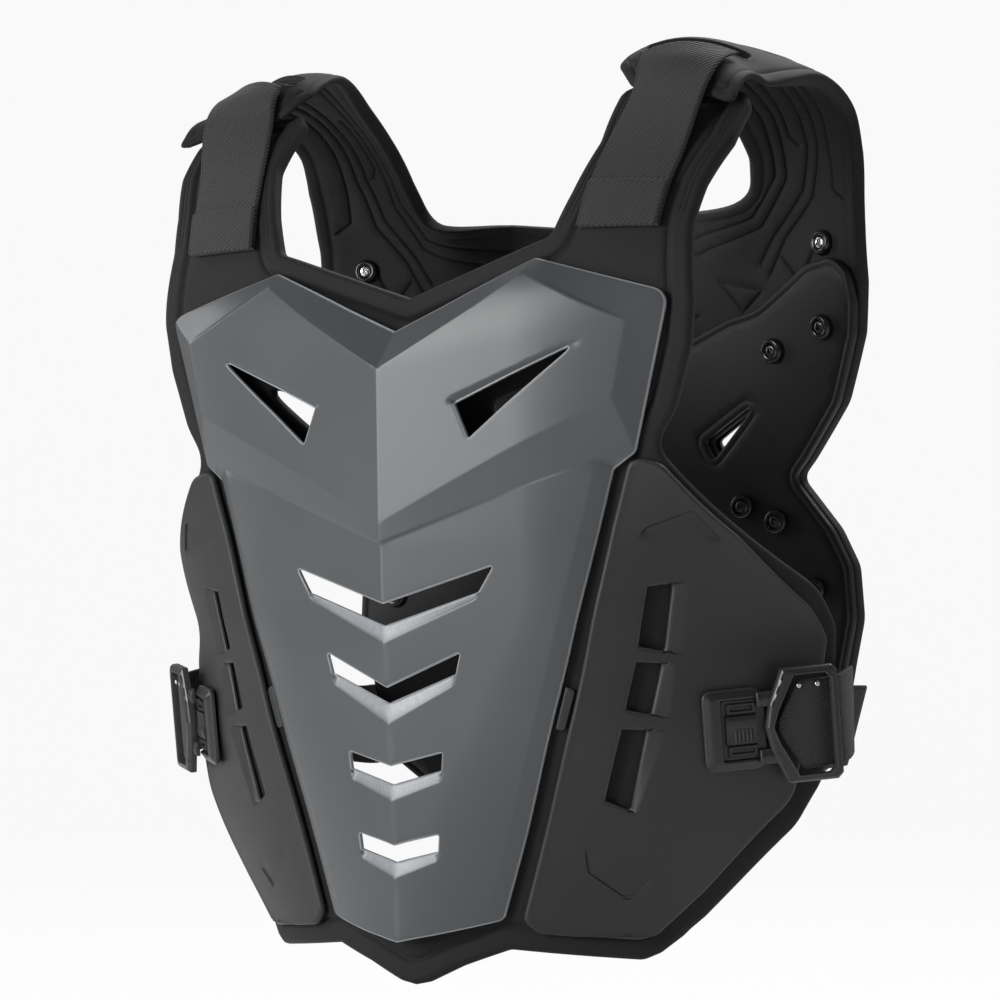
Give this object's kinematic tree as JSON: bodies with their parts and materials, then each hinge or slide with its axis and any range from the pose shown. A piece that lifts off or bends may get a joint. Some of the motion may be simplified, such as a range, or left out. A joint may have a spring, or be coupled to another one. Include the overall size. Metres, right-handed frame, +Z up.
{
  "type": "roost deflector",
  "caption": "Motocross chest and back protector: faceted shell and vented side plates on foam pads, over-shoulder flaps with webbing, elastic side straps on buckles.",
  "frame": {"origin": "middle between the shoulders, at the height of the shoulder line that the pads rest on", "axes": "+Z up along the wearer's trunk, the chest faces -Y, +X is the wearer's left"},
  "size_m": [0.4396, 0.2818, 0.5209],
  "materials": {
    "shell": "satin dark grey moulded plastic",
    "plate": "matte charcoal moulded plastic",
    "pad": "black moulded foam faced with knitted fabric",
    "liner": "smooth black moulded foam skin",
    "webbing": "woven polyester and elastic",
    "buckle": "black moulded plastic",
    "washer": "glossy black",
    "screw": "polished"
  },
  "bodies": {
    "root": {"front_pad": "pad", "front_shell": "shell", "side_plate_left": "plate", "side_plate_right": "plate", "shell_tab_left": "buckle", "shell_tab_right": "buckle", "back_pad": "pad", "back_liner": "liner", "back_shell": "shell", "washer_top_left": "washer", "washer_1_left": "washer", "washer_2_left": "washer", "washer_3_left": "washer", "washer_4_left": "washer", "washer_5_left": "washer", "washer_top_right": "washer", "washer_1_right": "washer", "washer_2_right": "washer", "washer_3_right": "washer", "washer_4_right": "washer", "washer_5_right": "washer", "screw_top_left": "screw", "screw_1_left": "screw", "screw_2_left": "screw", "screw_3_left": "screw", "screw_4_left": "screw", "screw_5_left": "screw", "screw_top_right": "screw", "screw_1_right": "screw", "screw_2_right": "screw", "screw_3_right": "screw", "screw_4_right": "screw", "screw_5_right": "screw", "shoulder_webbing_left": "webbing", "shoulder_webbing_right": "webbing", "buckle_base_left": "buckle", "buckle_latch_left": "buckle", "buckle_ring_left": "buckle", "side_strap_left": "webbing", "strap_rivet_1_left": "screw", "strap_rivet_2_left": "screw", "buckle_base_right": "buckle", "buckle_latch_right": "buckle", "buckle_ring_right": "buckle", "side_strap_right": "webbing", "strap_rivet_1_right": "screw", "strap_rivet_2_right": "screw"}
  },
  "joints": []
}
